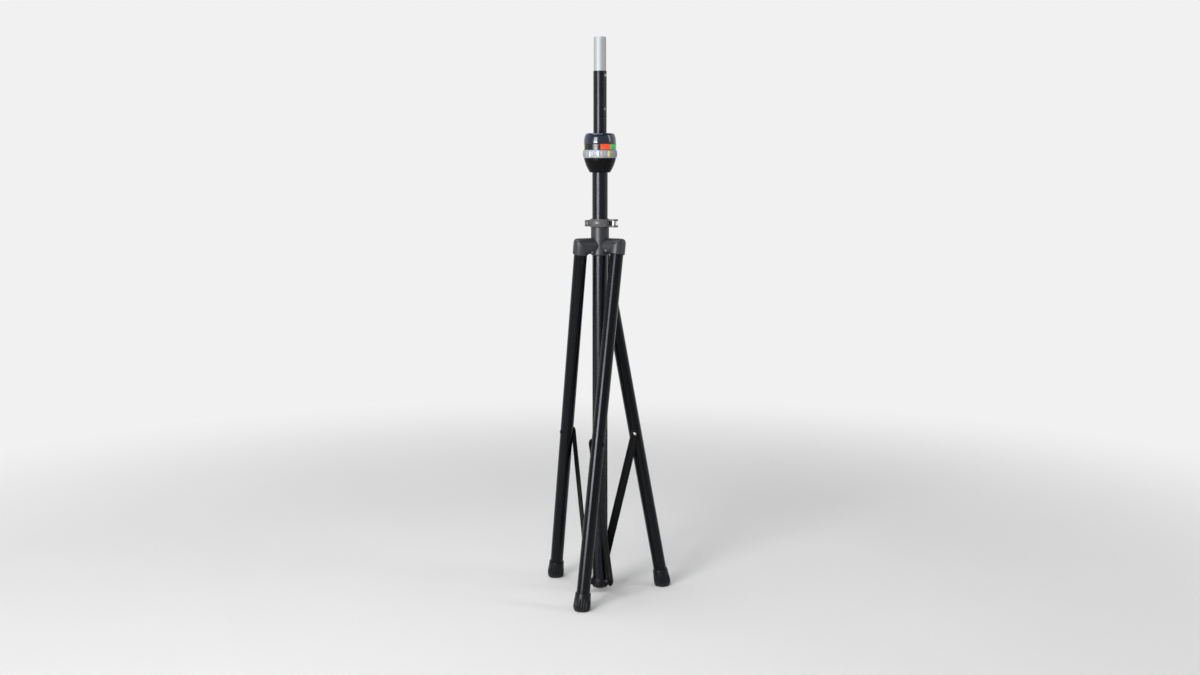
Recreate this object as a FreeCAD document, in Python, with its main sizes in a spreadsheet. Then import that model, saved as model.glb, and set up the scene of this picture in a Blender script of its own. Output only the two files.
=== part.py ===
import FreeCAD, Part
import math
import os
import re

import Sketcher

# Telescopic speaker stand on a folding tripod.
# Millimetres and degrees. The origin is on the floor under the pole's axis, and +Z is up.

SIZES = {
    # fits and gaps
    "glue_gap": 0.05,
    "running_fit": 0.1,
    "moving_gap": 0.3,
    # pole, mast and speaker adapter
    "pole_outer": 44.45,
    "pole_wall": 1.6,
    "pole_foot_height": 41,
    "pole_top_height": 1258,
    "mast_outer": 38.1,
    "mast_wall": 1.3,
    "mast_length": 1100,
    "mast_top_height": 1516,
    "guide_length": 22,
    "guide_spigot": 20,
    "guide_bore": 24,
    "adapter_outer": 34.9,
    "adapter_wall": 2.4,
    "adapter_showing": 95,
    "adapter_inside": 120,
    "adapter_shoulder": 0.6,
    # snap buttons
    "button_azimuth": -35,
    "button_diameter": 8.2,
    "button_drop": 12,
    "button_showing": 3,
    "button_dome": 2.4,
    "button_flange": 11.2,
    "button_flange_thick": 1.2,
    "stow_travel": 94,
    "spring_width": 8,
    "spring_thick": 0.6,
    "spring_reach": 7,
    "spring_arm": 40,
    # height lock
    "cup_height": 41,
    "cup_bottom_outer": 58,
    "cup_curve": 120,
    "cup_floor": 6,
    "ring_lift": 8,
    "lock_outer": 92,
    "lock_sleeve_outer": 66,
    "lock_sleeve_wall": 4,
    "lock_sleeve_rise": 23,
    "mast_clearance": 0.55,
    "ring_height": 23,
    "ring_edge_outer": 93.4,
    "ring_curve": 29,
    "marker_width": 6,
    "marker_height": 13,
    "marker_thick": 1.6,
    "marker_azimuth": -56,
    "cap_height": 47,
    "cap_top_outer": 80,
    "cap_curve": 51,
    "cap_straight": 23,
    "cap_roof": 12,
    "wiper_outer": 48,
    "wiper_height": 6,
    "label_height": 15,
    "label_margin": 1,
    "label_thick": 0.55,
    "collet_base_outer": 52,
    "collet_base_height": 6,
    "collet_neck_outer": 44,
    "collet_mouth_outer": 50,
    "collet_height": 53,
    "collet_slit": 1.6,
    "collet_slits": 3,
    "wedge_height": 34,
    "wedge_lift": 12,
    "wedge_travel": 1.5,
    "lug_width": 7,
    "lug_height": 6,
    "lug_reach": 2.5,
    # hub and its quick clamp
    "hub_outer": 52.3,
    "hub_clearance": 1.5,
    "hub_pivot_height": 1022,
    "hub_drop": 27,
    "hub_rise": 53,
    "hub_foot_chamfer": 2,
    "stub_diameter": 30,
    "stub_reach": 38,
    "groove_reach": 32,
    "groove_depth": 3.3,
    "clamp_sleeve_outer": 50.6,
    "clamp_sleeve_height": 25,
    "clamp_slit": 2.4,
    "clamp_slits": 2,
    "band_wall": 3.2,
    "band_height": 20,
    "band_gap": 5,
    "ear_reach": 46,
    "ear_thick": 6,
    "bolt_reach": 40.5,
    "bolt_diameter": 6,
    "bolt_tail": 9,
    "eye_outer": 11,
    "nut_width": 11,
    "nut_height": 5.5,
    "lever_gap": 1.2,
    "lever_thick": 5.5,
    "lever_curve": 20,
    "lever_height": 23,
    "lever_start": -35,
    "lever_sweep": 118,
    "lever_tab": 15,
    "lever_tab_height": 18,
    "lever_tab_slot": 3,
    "cam_diameter": 25,
    "prong_thick": 5.5,
    "fork_clearance": 1.2,
    # legs
    "arm_azimuth": 90,
    "leg_offset": 60,
    "leg_angle": 10.3,
    "leg_outer": 38.1,
    "leg_wall": 1.5,
    "leg_rise": 8,
    "leg_floor_gap": 8,
    "elbow_outer": 46,
    "elbow_mouth": 2.4,
    "mouth_lean": 7,
    "socket_drop": 23,
    "socket_rim": 2,
    "pin_diameter": 5,
    "pin_recess": 0.8,
    # rubber feet
    "foot_height": 54,
    "foot_rim_outer": 44,
    "foot_belly_outer": 49.5,
    "foot_belly_height": 16,
    "foot_sole_outer": 37,
    "foot_edge_outer": 45.5,
    "foot_edge_height": 6,
    "foot_sink": 3.2,
    "foot_flutes": 18,
    "foot_flute_radius": 3,
    "foot_flute_depth": 2.2,
    "foot_flute_rise": 36,
    # braces and their pivots
    "rivet_distance": 565,
    "plug_pivot_height": 31,
    "brace_width": 24.5,
    "brace_thick": 3.6,
    "washer_thick": 1,
    "washer_outer": 17,
    "rivet_diameter": 6,
    "rivet_head": 13,
    "rivet_head_height": 3,
    "pivot_diameter": 7,
    "pivot_head": 17,
    "pivot_head_height": 3,
    "pivot_depth": 12,
    "open_pivot_room": 2.2,
    "open_pivot_play": 1.3,
    # bottom plug
    "plug_outer": 46.4,
    "plug_foot_height": 13,
    "plug_foot_chamfer": 2,
    "plug_insert": 40,
    "plug_wall": 4,
    "boss_diameter": 19,
}

ARMS = {"c": 0, "a": 120, "b": 240}
SIDE = FreeCAD.Vector(1, 0, 0)
DEEP = FreeCAD.Vector(0, 1, 0)
UP = FreeCAD.Vector(0, 0, 1)

doc = FreeCAD.newDocument("SpeakerStand")
sheet = doc.addObject("Spreadsheet::Sheet", "Sizes")
for row, (alias, amount) in enumerate(SIZES.items(), start=1):
    sheet.set(f"A{row}", alias)
    sheet.set(f"B{row}", str(amount))
    sheet.setAlias(f"B{row}", alias)
doc.recompute()

subparts = []


def bound(text):
    """The expression text with each size's name turned into a reference to the sheet."""
    return re.sub(r"[a-z_]+", lambda word: f"Sizes.{word[0]}" if word[0] in SIZES else word[0], text)


def number(text):
    """The value of an expression in the sheet's sizes."""
    result = sheet.evalExpression(bound(text))
    return float(getattr(result, "Value", result))


def bind(item, **sizes):
    for name, text in sizes.items():
        item.setExpression(name, bound(text))
    return item


def set_base(item, x="0", y="0", z="0"):
    """Bind an object's place to the sheet."""
    for axis, text in zip("xyz", (x, y, z)):
        if text != "0":
            item.setExpression(f"Placement.Base.{axis}", bound(text))
    return item


def rod(name, diameter, length, x="0", y="0", z="0", along=None):
    """A round bar from a point, upwards or along another axis."""
    item = doc.addObject("Part::Cylinder", name)
    bind(item, Radius=f"({diameter}) / 2", Height=length)
    if along == SIDE:
        item.Placement.Rotation = FreeCAD.Rotation(DEEP, 90)
    if along == DEEP:
        item.Placement.Rotation = FreeCAD.Rotation(SIDE, -90)
    return set_base(item, x, y, z)


def block(name, length, width, height, x="0", y="0", z="0"):
    """A box centred in X and Y on a point that is in its lower face."""
    item = doc.addObject("Part::Box", name)
    bind(item, Length=length, Width=width, Height=height)
    return set_base(item, f"({x}) - ({length}) / 2", f"({y}) - ({width}) / 2", z)


def fuse(name, *pieces):
    item = doc.addObject("Part::MultiFuse", name)
    item.Shapes = list(pieces)
    item.Refine = True
    return item


def cut(name, base, *tools):
    """The base less each tool in turn."""
    for count, tool in enumerate(tools, start=1):
        item = doc.addObject("Part::Cut", name if count == len(tools) else f"{name}_cut_{count}")
        item.Base = base
        item.Tool = tool
        base = item
    return base


def stand(name, item, frame):
    """The same piece stood in another frame, with its own place still bound to the sheet."""
    piece = doc.addObject("Part::Compound", name)
    piece.Links = [item]
    piece.Placement = frame
    return piece


def turn_up(angle):
    """A frame turned about the pole's axis."""
    return FreeCAD.Placement(FreeCAD.Vector(), FreeCAD.Rotation(UP, angle))


def keep(label, item, frame=None):
    """Name a finished sub-part, stand it in its frame and list it."""
    item.Label = label
    if frame is not None:
        item.Placement = frame * item.Placement
    subparts.append(item)
    return item


def origin_plane(body, role):
    return next(item for item in body.Origin.OriginFeatures if item.Role == role)


def arc_between(first, second, radius, side):
    """A short arc of a circle between two points, whose centre is to the left or right of the way."""
    half = (second - first) * 0.5
    across = FreeCAD.Vector(-half.y, half.x, 0).normalize() * math.sqrt(radius**2 - half.Length**2)
    centre = first + half + (across if side == "left" else -across)
    start, end = (first, second) if side == "left" else (second, first)
    begin, finish = (math.atan2((p - centre).y, (p - centre).x) for p in (start, end))
    return Part.ArcOfCircle(Part.Circle(centre, UP, radius), begin, finish)


def outline(body, name, corners):
    """A closed sketch of radius and height, through corners (x, y) or (x, y, arc radius, centre's side)."""
    sketch = body.newObject("Sketcher::SketchObject", name)
    sketch.AttachmentSupport = [(origin_plane(body, "XZ_Plane"), "")]
    sketch.MapMode = "FlatFace"
    points = [FreeCAD.Vector(number(corner[0]), number(corner[1]), 0) for corner in corners]
    ends = []
    for index, corner in enumerate(corners):
        first, second = points[index], points[(index + 1) % len(points)]
        if len(corner) == 2:
            sketch.addGeometry(Part.LineSegment(first, second))
            ends.append((1, 2))
        else:
            sketch.addGeometry(arc_between(first, second, number(corner[2]), corner[3]))
            ends.append((1, 2) if corner[3] == "left" else (2, 1))
    for index in range(len(corners)):
        follower = (index + 1) % len(corners)
        join = Sketcher.Constraint("Coincident", index, ends[index][1], follower, ends[follower][0])
        sketch.addConstraint(join)
    for index, corner in enumerate(corners):
        start = ends[index][0]
        for kind, text, amount, axis in (
            ("DistanceX", corner[0], points[index].x, -2),
            ("DistanceY", corner[1], points[index].y, -1),
        ):
            if text == "0":
                sketch.addConstraint(Sketcher.Constraint("PointOnObject", index, start, axis))
            else:
                rule = sketch.addConstraint(Sketcher.Constraint(kind, -1, 1, index, start, amount))
                sketch.setExpression(f"Constraints[{rule}]", bound(text))
        if len(corner) > 2:
            rule = sketch.addConstraint(Sketcher.Constraint("Radius", index, number(corner[2])))
            sketch.setExpression(f"Constraints[{rule}]", bound(corner[2]))
    return sketch


def turned(name, corners):
    """A body turned about its own Z axis from an outline."""
    body = doc.addObject("PartDesign::Body", name)
    sketch = outline(body, f"{name}_outline", corners)
    turn = body.newObject("PartDesign::Revolution", f"{name}_turn")
    turn.Profile = sketch
    turn.ReferenceAxis = (sketch, ["V_Axis"])
    turn.Angle = 360
    return body


def flute(body, count, centre, radius, rise):
    """Cut a ring of round grooves up the outside of a turned body, from its foot to a height."""
    sketch = body.newObject("Sketcher::SketchObject", f"{body.Name}_flute_circle")
    sketch.AttachmentSupport = [(origin_plane(body, "XY_Plane"), "")]
    sketch.MapMode = "FlatFace"
    # the first groove is half a pitch off the seam of the turned face
    spots = {
        "DistanceX": f"({centre}) * cos(180 / {count})",
        "DistanceY": f"({centre}) * sin(180 / {count})",
    }
    middle = FreeCAD.Vector(*(number(spot) for spot in spots.values()))
    sketch.addGeometry(Part.Circle(middle, UP, number(radius)))
    for kind, spot in spots.items():
        place = sketch.addConstraint(Sketcher.Constraint(kind, -1, 1, 0, 3, number(spot)))
        sketch.setExpression(f"Constraints[{place}]", bound(spot))
    width = sketch.addConstraint(Sketcher.Constraint("Radius", 0, number(radius)))
    sketch.setExpression(f"Constraints[{width}]", bound(radius))
    doc.recompute()
    plain = body.Shape.Volume
    groove = body.newObject("PartDesign::Pocket", f"{body.Name}_flute")
    groove.Profile = sketch
    groove.Reversed = True
    bind(groove, Length=rise)
    ring = body.newObject("PartDesign::PolarPattern", f"{body.Name}_flutes")
    ring.Originals = [groove]
    ring.Axis = (sketch, ["N_Axis"])
    ring.Angle = 360
    bind(ring, Occurrences=count)
    body.Tip = ring
    doc.recompute()
    assert body.Shape.Volume < plain, f"{body.Name} has no flutes"
    return body


def round_head(diameter, height):
    """The radius of the arc that domes a head of this diameter and height."""
    return f"(({diameter})^2 / 4 + ({height})^2) / 2 / ({height})"


def arm_frame(letter):
    """X runs out along an arm of the hub, and the leg swings towards -Y."""
    return turn_up(number("arm_azimuth") + ARMS[letter])


def leg_frame(letter):
    """Z runs up a leg's axis from the height of its hinge, and X is the hinge's axis."""
    top = FreeCAD.Vector(number("leg_offset"), 0, number("hub_pivot_height"))
    return arm_frame(letter) * FreeCAD.Placement(top, FreeCAD.Rotation(SIDE, -number("leg_angle")))


# the brace runs from its pivot on the plug up and out to its rivet on the leg
BRACE_OUT = "(rivet_distance * sin(leg_angle))"
BRACE_UP = "(hub_pivot_height - rivet_distance * cos(leg_angle) - plug_pivot_height)"
BRACE_LENGTH = f"sqrt({BRACE_OUT}^2 + {BRACE_UP}^2)"
# distances of the brace's two faces from the pole's axis
BRACE_FACE = "(leg_offset - leg_outer / 2 - moving_gap - washer_thick)"
BRACE_BACK = f"({BRACE_FACE} - brace_thick)"


def brace_frame(letter):
    """Z runs up a brace from its lower pivot, and X is the pivot's axis."""
    lean = math.degrees(math.atan2(number(BRACE_OUT), number(BRACE_UP)))
    foot = FreeCAD.Vector(0, 0, number("plug_pivot_height"))
    return arm_frame(letter) * FreeCAD.Placement(foot, FreeCAD.Rotation(SIDE, lean))


# heights and radii that several sub-parts share
POLE_BORE = "(pole_outer - 2 * pole_wall)"
MAST_BORE = "(mast_outer - 2 * mast_wall)"
ADAPTER_BORE = "(adapter_outer - 2 * adapter_wall)"
MAST_FOOT = "(mast_top_height - mast_length)"
BUTTON_HEIGHT = "(mast_top_height - button_drop)"
BUTTON_HOLE = "(button_diameter + 2 * moving_gap)"
LOCK_FLOOR = "(pole_top_height + cup_floor)"
RING_FOOT = f"({LOCK_FLOOR} + ring_lift)"
CUP_FOOT = f"({RING_FOOT} - cup_height)"
CAP_FOOT = f"({RING_FOOT} + ring_height)"
CAP_TOP = f"({CAP_FOOT} + cap_height)"
SLEEVE_TOP = f"({CAP_FOOT} + lock_sleeve_rise)"
SLEEVE_BORE = "(lock_sleeve_outer - 2 * lock_sleeve_wall)"
MAST_HOLE = "(mast_outer + 2 * mast_clearance)"
MAST_SLIDE = "(mast_outer + 2 * running_fit)"
LUG_FOOT = f"({RING_FOOT} + (ring_height - lug_height) / 2)"
HUB_BORE = "(pole_outer + 2 * hub_clearance)"
PIN_DROP = "(stub_diameter / 2 - groove_depth + moving_gap + pin_diameter / 2)"
PIN_LENGTH = f"(2 * sqrt(elbow_outer^2 / 4 - {PIN_DROP}^2) - 2 * pin_recess)"
CLAMP_FOOT = "(hub_pivot_height + hub_rise)"
CLAMP_MIDDLE = f"({CLAMP_FOOT} + clamp_sleeve_height / 2)"
BAND_BORE = "(clamp_sleeve_outer + 2 * glue_gap)"
BAND_OUTER = f"({BAND_BORE} + 2 * band_wall)"
EAR_FACE = "(band_gap / 2 + ear_thick)"
PIN_BACK = f"({EAR_FACE} + moving_gap + cam_diameter / 2)"


def button_frame():
    """X runs out through the right snap button."""
    turn = FreeCAD.Rotation(UP, number("button_azimuth"))
    return FreeCAD.Placement(FreeCAD.Vector(0, 0, number(BUTTON_HEIGHT)), turn)


def button_bore(name, height):
    """A tool that drills both walls of a tube for the snap buttons."""
    bore = rod(f"{name}_bar", BUTTON_HOLE, "2 * pole_outer", x="-pole_outer", z=height, along=SIDE)
    return stand(name, bore, turn_up(number("button_azimuth")))


def tubes():
    """The pole, the mast that slides in it with its guide bush, and the speaker adapter."""
    length = "pole_top_height - pole_foot_height"
    skin = rod("pole_skin", "pole_outer", length, z="pole_foot_height")
    keep("pole_tube", cut("pole_tube", skin, rod("pole_hollow", POLE_BORE, length, z="pole_foot_height")))

    skin = rod("mast_skin", "mast_outer", "mast_length", z=MAST_FOOT)
    hollow = rod("mast_hollow", MAST_BORE, "mast_length", z=MAST_FOOT)
    upper = button_bore("mast_upper_holes", BUTTON_HEIGHT)
    lower = button_bore("mast_lower_holes", f"{BUTTON_HEIGHT} - stow_travel")
    keep("mast_tube", cut("mast_tube", skin, hollow, upper, lower))

    slide = f"({POLE_BORE} / 2 - running_fit)"
    spigot = f"({MAST_BORE} / 2 - glue_gap)"
    guide = turned("mast_guide", [
        ("guide_bore / 2", f"{MAST_FOOT} - guide_length"),
        (slide, f"{MAST_FOOT} - guide_length"),
        (slide, MAST_FOOT),
        (spigot, MAST_FOOT),
        (spigot, f"{MAST_FOOT} + guide_spigot"),
        ("guide_bore / 2", f"{MAST_FOOT} + guide_spigot"),
    ])
    keep("mast_guide", guide)

    # the tail fills the mast's bore, and the spigot above it is a little slimmer
    tail = f"({MAST_BORE} / 2 - running_fit)"
    foot = "mast_top_height - adapter_inside"
    top = "mast_top_height + adapter_showing"
    blank = turned("adapter_blank", [
        (f"{ADAPTER_BORE} / 2", foot),
        (tail, foot),
        (tail, "mast_top_height"),
        ("adapter_outer / 2", "mast_top_height + adapter_shoulder"),
        ("adapter_outer / 2", f"{top} - adapter_wall", "adapter_wall", "left"),
        (f"{ADAPTER_BORE} / 2", top),
    ])
    keep("adapter_tube", cut("adapter_tube", blank, button_bore("adapter_holes", BUTTON_HEIGHT)))


def snap_buttons():
    """Two domed buttons on the ends of a bent leaf spring inside the adapter."""
    # the flange's corners clear the round bore
    seat = f"(sqrt(({ADAPTER_BORE} / 2 - moving_gap)^2 - button_flange^2 / 4) - button_flange_thick)"
    length = f"(mast_outer / 2 + button_showing - {seat})"
    dome = round_head("button_diameter", "button_dome")
    for side, turn in (("right", 0), ("left", 180)):
        button = turned(f"snap_button_{side}", [
            ("0", "0"),
            ("button_flange / 2", "0"),
            ("button_flange / 2", "button_flange_thick"),
            ("button_diameter / 2", "button_flange_thick"),
            ("button_diameter / 2", f"{length} - button_dome", dome, "left"),
            ("0", length),
        ])
        lay = FreeCAD.Placement(FreeCAD.Vector(number(seat), 0, 0), FreeCAD.Rotation(DEEP, 90))
        keep(f"snap_button_{side}", button, button_frame() * turn_up(turn) * lay)

    outside = f"({seat} - running_fit)"
    arm = "spring_arm + spring_reach"
    hull = block("spring_hull", f"2 * {outside}", "spring_width", arm, z="-spring_arm")
    bend = rod("spring_bend", f"2 * {outside}", "spring_width",
               y="-spring_width / 2", z="-spring_arm", along=DEEP)
    inside = f"2 * ({outside} - spring_thick)"
    room = block("spring_room", inside, "2 * spring_width", arm, z="-spring_arm")
    hollow = rod("spring_hollow", inside, "2 * spring_width",
                 y="-spring_width", z="-spring_arm", along=DEEP)
    strip = cut("button_spring", fuse("spring_blank", hull, bend), fuse("spring_inside", room, hollow))
    keep("button_spring", strip, button_frame())


def cross_slits(name, count, width, height, foot):
    """Tools that slit a sleeve right across, evenly spread over the half turn."""
    pitch = number(f"180 / {count}")
    tools = []
    for index in range(int(number(count))):
        slit = block(f"{name}_slit_{index}", "lock_outer", width, height, z=foot)
        tools.append(stand(f"{name}_slit_{index}_turned", slit, turn_up(pitch / 2 + pitch * index)))
    return tools


def height_lock():
    """Cup, twist ring and cap around a split collet, which a wedge sleeve closes on the mast."""
    pole_seat = "(pole_outer / 2 + glue_gap)"
    cup = turned("cup_blank", [
        (pole_seat, CUP_FOOT),
        ("cup_bottom_outer / 2", CUP_FOOT, "cup_curve", "left"),
        ("lock_outer / 2", RING_FOOT),
        ("lock_sleeve_outer / 2", RING_FOOT),
        ("lock_sleeve_outer / 2", SLEEVE_TOP),
        (f"{SLEEVE_BORE} / 2", SLEEVE_TOP),
        (f"{SLEEVE_BORE} / 2", LOCK_FLOOR),
        (f"{MAST_HOLE} / 2", LOCK_FLOOR),
        (f"{MAST_HOLE} / 2", "pole_top_height"),
        (pole_seat, "pole_top_height"),
    ])
    slot_height = "lug_height + wedge_travel + 2 * moving_gap"
    slot_foot = f"{LUG_FOOT} - wedge_travel - moving_gap"
    slots = []
    lugs = []
    lug_outer = "(lock_sleeve_outer / 2 + lug_reach)"
    for letter, turn in ARMS.items():
        reach = f"({lug_outer} - {SLEEVE_BORE} / 2 + lock_sleeve_wall)"
        middle = f"({SLEEVE_BORE} / 2 + {lug_outer} - lock_sleeve_wall) / 2"
        slot = block(f"lug_slot_{letter}", reach, "lug_width + 2 * moving_gap", slot_height,
                     x=middle, z=slot_foot)
        lug = block(f"lug_{letter}", reach, "lug_width", "lug_height", x=middle, z=LUG_FOOT)
        slots.append(stand(f"lug_slot_{letter}_turned", slot, turn_up(turn)))
        lugs.append(stand(f"lug_{letter}_turned", lug, turn_up(turn)))
    keep("lock_cup", cut("lock_cup", cup, *slots))

    ring_bore = "(lock_sleeve_outer / 2 + moving_gap)"
    groove = f"({lug_outer} + moving_gap)"
    ring = turned("ring_blank", [
        (ring_bore, f"{RING_FOOT} + running_fit"),
        ("ring_edge_outer / 2", f"{RING_FOOT} + running_fit", "ring_curve", "left"),
        ("ring_edge_outer / 2", f"{CAP_FOOT} - running_fit"),
        (ring_bore, f"{CAP_FOOT} - running_fit"),
        (ring_bore, f"{slot_foot} + {slot_height}"),
        (groove, f"{slot_foot} + {slot_height}"),
        (groove, slot_foot),
        (ring_bore, slot_foot),
    ])
    bulge = "(ring_edge_outer / 2 + ring_curve - sqrt(ring_curve^2 - ring_height^2 / 4))"
    seat = f"({bulge} - moving_gap)"
    marker_foot = f"{RING_FOOT} + (ring_height - marker_height) / 2"
    width = "marker_width + 2 * glue_gap"
    height = "marker_height + 2 * glue_gap"
    pocket = block("marker_pocket", "2 * marker_thick", width, height, z=f"{marker_foot} - glue_gap")
    marker = block("marker_block", "marker_thick", "marker_width", "marker_height", z=marker_foot)
    spin = turn_up(number("marker_azimuth"))
    set_base(pocket, x=f"{seat} - marker_thick - glue_gap")
    set_base(marker, x=f"{seat} - marker_thick")
    keep("twist_ring", cut("twist_ring", ring, stand("marker_pocket_turned", pocket, spin)))
    keep("ring_marker", stand("ring_marker", marker, spin))

    roof = f"({CAP_TOP} - cap_roof)"
    cap_bore = "(lock_sleeve_outer / 2 + glue_gap)"
    wiper_seat = "(wiper_outer / 2 + glue_gap)"
    label_foot = f"({CAP_FOOT} + label_margin)"
    label_top = f"({label_foot} + label_height)"
    label_seat = "(lock_outer / 2 - label_thick - glue_gap)"
    keep("lock_cap", turned("lock_cap", [
        (cap_bore, CAP_FOOT),
        ("lock_outer / 2", CAP_FOOT),
        ("lock_outer / 2", label_foot),
        (label_seat, label_foot),
        (label_seat, label_top),
        ("lock_outer / 2", label_top),
        ("lock_outer / 2", f"{CAP_FOOT} + cap_straight", "cap_curve", "left"),
        ("cap_top_outer / 2", CAP_TOP),
        (f"{MAST_HOLE} / 2", CAP_TOP),
        (f"{MAST_HOLE} / 2", f"{roof} + wiper_height"),
        (wiper_seat, f"{roof} + wiper_height"),
        (wiper_seat, roof),
        (cap_bore, roof),
    ]))
    keep("label_band", turned("label_band", [
        ("lock_outer / 2 - label_thick", label_foot),
        ("lock_outer / 2", label_foot),
        ("lock_outer / 2", label_top),
        ("lock_outer / 2 - label_thick", label_top),
    ]))
    keep("wiper_ring", turned("wiper_ring", [
        (f"{MAST_SLIDE} / 2", roof),
        ("wiper_outer / 2", roof),
        ("wiper_outer / 2", f"{roof} + wiper_height"),
        (f"{MAST_SLIDE} / 2", f"{roof} + wiper_height"),
    ]))

    neck = f"({LOCK_FLOOR} + collet_base_height)"
    collet = turned("collet_blank", [
        (f"{MAST_SLIDE} / 2", LOCK_FLOOR),
        ("collet_base_outer / 2", LOCK_FLOOR),
        ("collet_base_outer / 2", neck),
        ("collet_neck_outer / 2", neck),
        ("collet_mouth_outer / 2", f"{LOCK_FLOOR} + collet_height"),
        (f"{MAST_SLIDE} / 2", f"{LOCK_FLOOR} + collet_height"),
    ])
    slits = cross_slits("collet", "collet_slits", "collet_slit", "collet_height", neck)
    keep("lock_collet", cut("lock_collet", collet, *slits))

    taper = "((collet_mouth_outer - collet_neck_outer) / 2 / (collet_height - collet_base_height))"
    wedge_foot = f"({LOCK_FLOOR} + wedge_lift)"
    start = f"(collet_neck_outer / 2 + (wedge_lift - collet_base_height) * {taper} + moving_gap)"
    wedge_outer = f"({SLEEVE_BORE} / 2 - moving_gap)"
    wedge = turned("wedge_blank", [
        (start, wedge_foot),
        (wedge_outer, wedge_foot),
        (wedge_outer, f"{wedge_foot} + wedge_height"),
        (f"{start} + wedge_height * {taper}", f"{wedge_foot} + wedge_height"),
    ])
    keep("wedge_sleeve", fuse("wedge_sleeve", wedge, *lugs))


def hub():
    """Sleeve that slides on the pole, with three stub arms for the elbows and a split top for the clamp."""
    foot = "(hub_pivot_height - hub_drop)"
    sleeve = turned("hub_blank", [
        (f"{HUB_BORE} / 2", foot),
        ("hub_outer / 2 - hub_foot_chamfer", foot),
        ("hub_outer / 2", f"{foot} + hub_foot_chamfer"),
        ("hub_outer / 2", CLAMP_FOOT),
        ("clamp_sleeve_outer / 2", CLAMP_FOOT),
        ("clamp_sleeve_outer / 2", f"{CLAMP_FOOT} + clamp_sleeve_height"),
        (f"{HUB_BORE} / 2", f"{CLAMP_FOOT} + clamp_sleeve_height"),
    ])
    groove_width = "(pin_diameter + 2 * moving_gap)"
    stubs = []
    for letter in ARMS:
        root = rod(f"stub_root_{letter}", "stub_diameter", f"groove_reach - {groove_width} / 2", along=SIDE)
        neck = rod(f"stub_neck_{letter}", "stub_diameter - 2 * groove_depth", "stub_reach", along=SIDE)
        rim_start = f"groove_reach + {groove_width} / 2"
        rim = rod(f"stub_rim_{letter}", "stub_diameter", f"stub_reach - ({rim_start})",
                  x=rim_start, along=SIDE)
        stub = fuse(f"stub_{letter}", root, neck, rim)
        lift = FreeCAD.Placement(FreeCAD.Vector(0, 0, number("hub_pivot_height")), FreeCAD.Rotation())
        stub.Placement = lift * arm_frame(letter)
        stubs.append(stub)
    bore = rod("hub_bore", HUB_BORE, "hub_drop + hub_rise + clamp_sleeve_height", z=foot)
    slits = cross_slits("clamp", "clamp_slits", "clamp_slit", "clamp_sleeve_height", CLAMP_FOOT)
    keep("hub", cut("hub", fuse("hub_solid", sleeve, *stubs), bore, *slits))


def quick_clamp():
    """Split band round the hub's top, drawn together by an eye bolt and a cam lever."""
    band_foot = f"({CLAMP_MIDDLE} - band_height / 2)"
    ring = rod("band_ring", BAND_OUTER, "band_height", z=band_foot)
    ears = block("band_ears", f"ear_reach - {BAND_BORE} / 2", f"2 * {EAR_FACE}", "band_height",
                 x=f"(ear_reach + {BAND_BORE} / 2) / 2", z=band_foot)
    bore = rod("band_bore", BAND_BORE, "band_height", z=band_foot)
    gap = block("band_gap_cut", "ear_reach", "band_gap", "band_height",
                x="ear_reach / 2 + pole_outer / 4", z=band_foot)
    hole = rod("band_bolt_hole", "bolt_diameter + 2 * running_fit", "2 * ear_reach",
               x="bolt_reach", y="-ear_reach", z=CLAMP_MIDDLE, along=DEEP)
    keep("clamp_band", cut("clamp_band", fuse("band_solid", ring, ears), bore, gap, hole))

    eye_height = "(lever_height - 2 * prong_thick - 2 * moving_gap)"
    shank = rod("bolt_shank", "bolt_diameter", f"{PIN_BACK} + {EAR_FACE} + bolt_tail",
                x="bolt_reach", y=f"-{PIN_BACK}", z=CLAMP_MIDDLE, along=DEEP)
    eye = rod("bolt_eye", "eye_outer", eye_height, x="bolt_reach", y=f"-{PIN_BACK}",
              z=f"{CLAMP_MIDDLE} - {eye_height} / 2")
    pin_hole = rod("bolt_pin_hole", "bolt_diameter + 2 * glue_gap", "lever_height", x="bolt_reach",
                   y=f"-{PIN_BACK}", z=f"{CLAMP_MIDDLE} - lever_height / 2")
    keep("clamp_bolt", cut("clamp_bolt", fuse("bolt_solid", shank, eye), pin_hole))
    keep("clamp_pin", rod("clamp_pin", "bolt_diameter", "lever_height", x="bolt_reach",
                          y=f"-{PIN_BACK}", z=f"{CLAMP_MIDDLE} - lever_height / 2"))

    nut = doc.addObject("Part::Prism", "nut_blank")
    nut.Polygon = 6
    bind(nut, Circumradius="nut_width / sqrt(3)", Height="nut_height")
    nut.Placement.Rotation = FreeCAD.Rotation(SIDE, -90)
    set_base(nut, x="bolt_reach", y=EAR_FACE, z=CLAMP_MIDDLE)
    thread = rod("nut_thread", "bolt_diameter + 2 * glue_gap", "2 * nut_height",
                 x="bolt_reach", y=f"{EAR_FACE} - nut_height / 2", z=CLAMP_MIDDLE, along=DEEP)
    keep("clamp_nut", cut("clamp_nut", nut, thread))
    clamp_lever(eye_height)


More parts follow.
